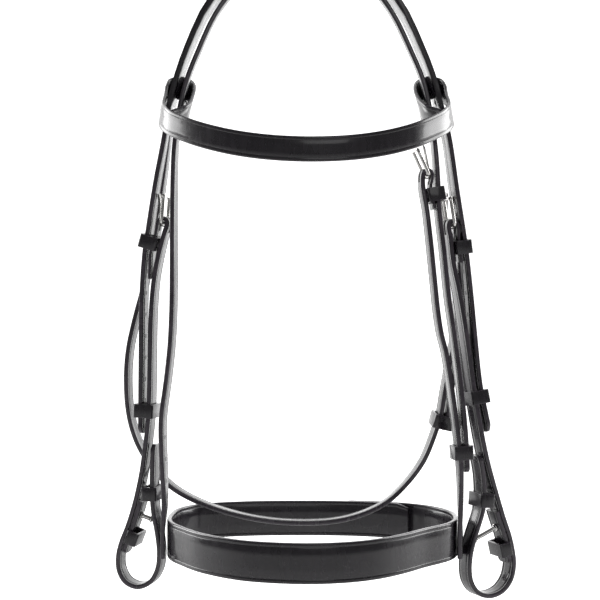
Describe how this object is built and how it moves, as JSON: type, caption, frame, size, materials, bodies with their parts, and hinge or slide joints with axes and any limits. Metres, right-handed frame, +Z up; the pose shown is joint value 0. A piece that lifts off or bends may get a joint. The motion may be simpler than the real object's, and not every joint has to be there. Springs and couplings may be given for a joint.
{
  "type": "snaffle bridle headstall",
  "caption": "Horse's leather snaffle bridle without bit or reins: headpiece, browband, cheekpieces with hook-stud bit loops, throatlash and cavesson noseband.",
  "frame": {"origin": "underside of the noseband's headstrap at the middle of the poll, where the bridle bears on the horse or a bridle hook", "axes": "+Z up, +X to the horse's near (left) side, -Y to the horse's front"},
  "size_m": [0.3272, 0.2191, 0.5262],
  "materials": {
    "leather": "black bridle leather, satin gloss",
    "steel": "polished"
  },
  "bodies": {
    "headstall": {"browband": "leather", "headpiece": "leather", "near_bit_lower_keeper": "leather", "near_bit_upper_keeper": "leather", "near_cheek_keeper": "leather", "near_cheekpiece": "leather", "near_hook_stud": "steel", "near_stud_layer": "leather", "noseband": "leather", "noseband_cheek_strap": "leather", "noseband_headstrap": "leather", "noseband_rear_billet": "leather", "noseband_rear_chape": "leather", "noseband_rear_keeper": "leather", "noseband_rear_second_keeper": "leather", "noseband_upper_keeper": "leather", "off_bit_lower_keeper": "leather", "off_bit_upper_keeper": "leather", "off_cheek_keeper": "leather", "off_cheekpiece": "leather", "off_hook_stud": "steel", "off_stud_layer": "leather", "throatlash": "leather", "throatlash_keeper": "leather"},
    "throatlash_buckle_frame": {"throatlash_buckle_frame": "steel"},
    "throatlash_buckle_tongue": {"throatlash_buckle_tongue": "steel"},
    "noseband_buckle_frame": {"noseband_buckle_frame": "steel"},
    "noseband_buckle_tongue": {"noseband_buckle_tongue": "steel"},
    "off_cheek_buckle_frame": {"off_cheek_buckle_frame": "steel"},
    "off_cheek_buckle_tongue": {"off_cheek_buckle_tongue": "steel"},
    "near_cheek_buckle_frame": {"near_cheek_buckle_frame": "steel"},
    "near_cheek_buckle_tongue": {"near_cheek_buckle_tongue": "steel"},
    "noseband_rear_buckle_frame": {"noseband_rear_buckle_frame": "steel"},
    "noseband_rear_buckle_tongue": {"noseband_rear_buckle_tongue": "steel"},
    "off_cheek_runner": {"off_cheek_runner": "leather"},
    "near_cheek_runner": {"near_cheek_runner": "leather"},
    "noseband_runner": {"noseband_runner": "leather"},
    "throatlash_runner": {"throatlash_runner": "leather"}
  },
  "joints": [
    {"name": "throatlash_buckle_hinge", "type": "hinge", "parent": "headstall", "child": "throatlash_buckle_frame", "pos_m": [0.1135, 0.01517, -0.212], "axis": [-0.0698, 0.9976, 0], "range_deg": [-130, 1.5]},
    {"name": "throatlash_buckle_tongue_hinge", "type": "hinge", "parent": "throatlash_buckle_frame", "child": "throatlash_buckle_tongue", "pos_m": [0.1135, 0.01517, -0.212], "axis": [-0.0698, 0.9976, 0], "range_deg": [-9, 2]},
    {"name": "noseband_buckle_hinge", "type": "hinge", "parent": "headstall", "child": "noseband_buckle_frame", "pos_m": [0.097, -0.01721, -0.176], "axis": [-0.1392, 0.9903, 0], "range_deg": [-110, 6]},
    {"name": "noseband_buckle_tongue_hinge", "type": "hinge", "parent": "noseband_buckle_frame", "child": "noseband_buckle_tongue", "pos_m": [0.097, -0.01721, -0.176], "axis": [-0.1392, 0.9903, 0], "range_deg": [-11, 8]},
    {"name": "off_cheek_buckle_hinge", "type": "hinge", "parent": "headstall", "child": "off_cheek_buckle_frame", "pos_m": [-0.11403, -0.00696, -0.214], "axis": [0.1392, 0.9903, 0], "range_deg": [0, 11]},
    {"name": "off_cheek_buckle_tongue_hinge", "type": "hinge", "parent": "off_cheek_buckle_frame", "child": "off_cheek_buckle_tongue", "pos_m": [-0.11403, -0.00696, -0.214], "axis": [0.1392, 0.9903, 0], "range_deg": [0, 7]},
    {"name": "near_cheek_buckle_hinge", "type": "hinge", "parent": "headstall", "child": "near_cheek_buckle_frame", "pos_m": [0.11783, -0.00689, -0.216], "axis": [-0.1736, 0.9848, 0], "range_deg": [-5, 0]},
    {"name": "near_cheek_buckle_tongue_hinge", "type": "hinge", "parent": "near_cheek_buckle_frame", "child": "near_cheek_buckle_tongue", "pos_m": [0.11783, -0.00689, -0.216], "axis": [-0.1736, 0.9848, 0], "range_deg": [-5, 0]},
    {"name": "noseband_rear_buckle_hinge", "type": "hinge", "parent": "headstall", "child": "noseband_rear_buckle_frame", "pos_m": [0.04898, 0.08509, -0.4667], "axis": [0, 0, 1], "range_deg": [-3, 21]},
    {"name": "noseband_rear_buckle_tongue_hinge", "type": "hinge", "parent": "noseband_rear_buckle_frame", "child": "noseband_rear_buckle_tongue", "pos_m": [0.04898, 0.08509, -0.4667], "axis": [0, 0, 1], "range_deg": [-4, 0]},
    {"name": "off_cheek_runner_slide", "type": "slide", "parent": "headstall", "child": "off_cheek_runner", "axis": [0.0523, -0.0169, 0.9985], "range_m": [-0.012, 0.012]},
    {"name": "near_cheek_runner_slide", "type": "slide", "parent": "headstall", "child": "near_cheek_runner", "axis": [-0.1624, 0.0472, 0.9856], "range_m": [-0.008, 0.008]},
    {"name": "noseband_runner_slide", "type": "slide", "parent": "headstall", "child": "noseband_runner", "axis": [0.0517, 0, -0.9987], "range_m": [-0.008, 0.015]},
    {"name": "throatlash_runner_slide", "type": "slide", "parent": "headstall", "child": "throatlash_runner", "axis": [0.2575, -0.0979, 0.9613], "range_m": [-0.01, 0.005]}
  ]
}
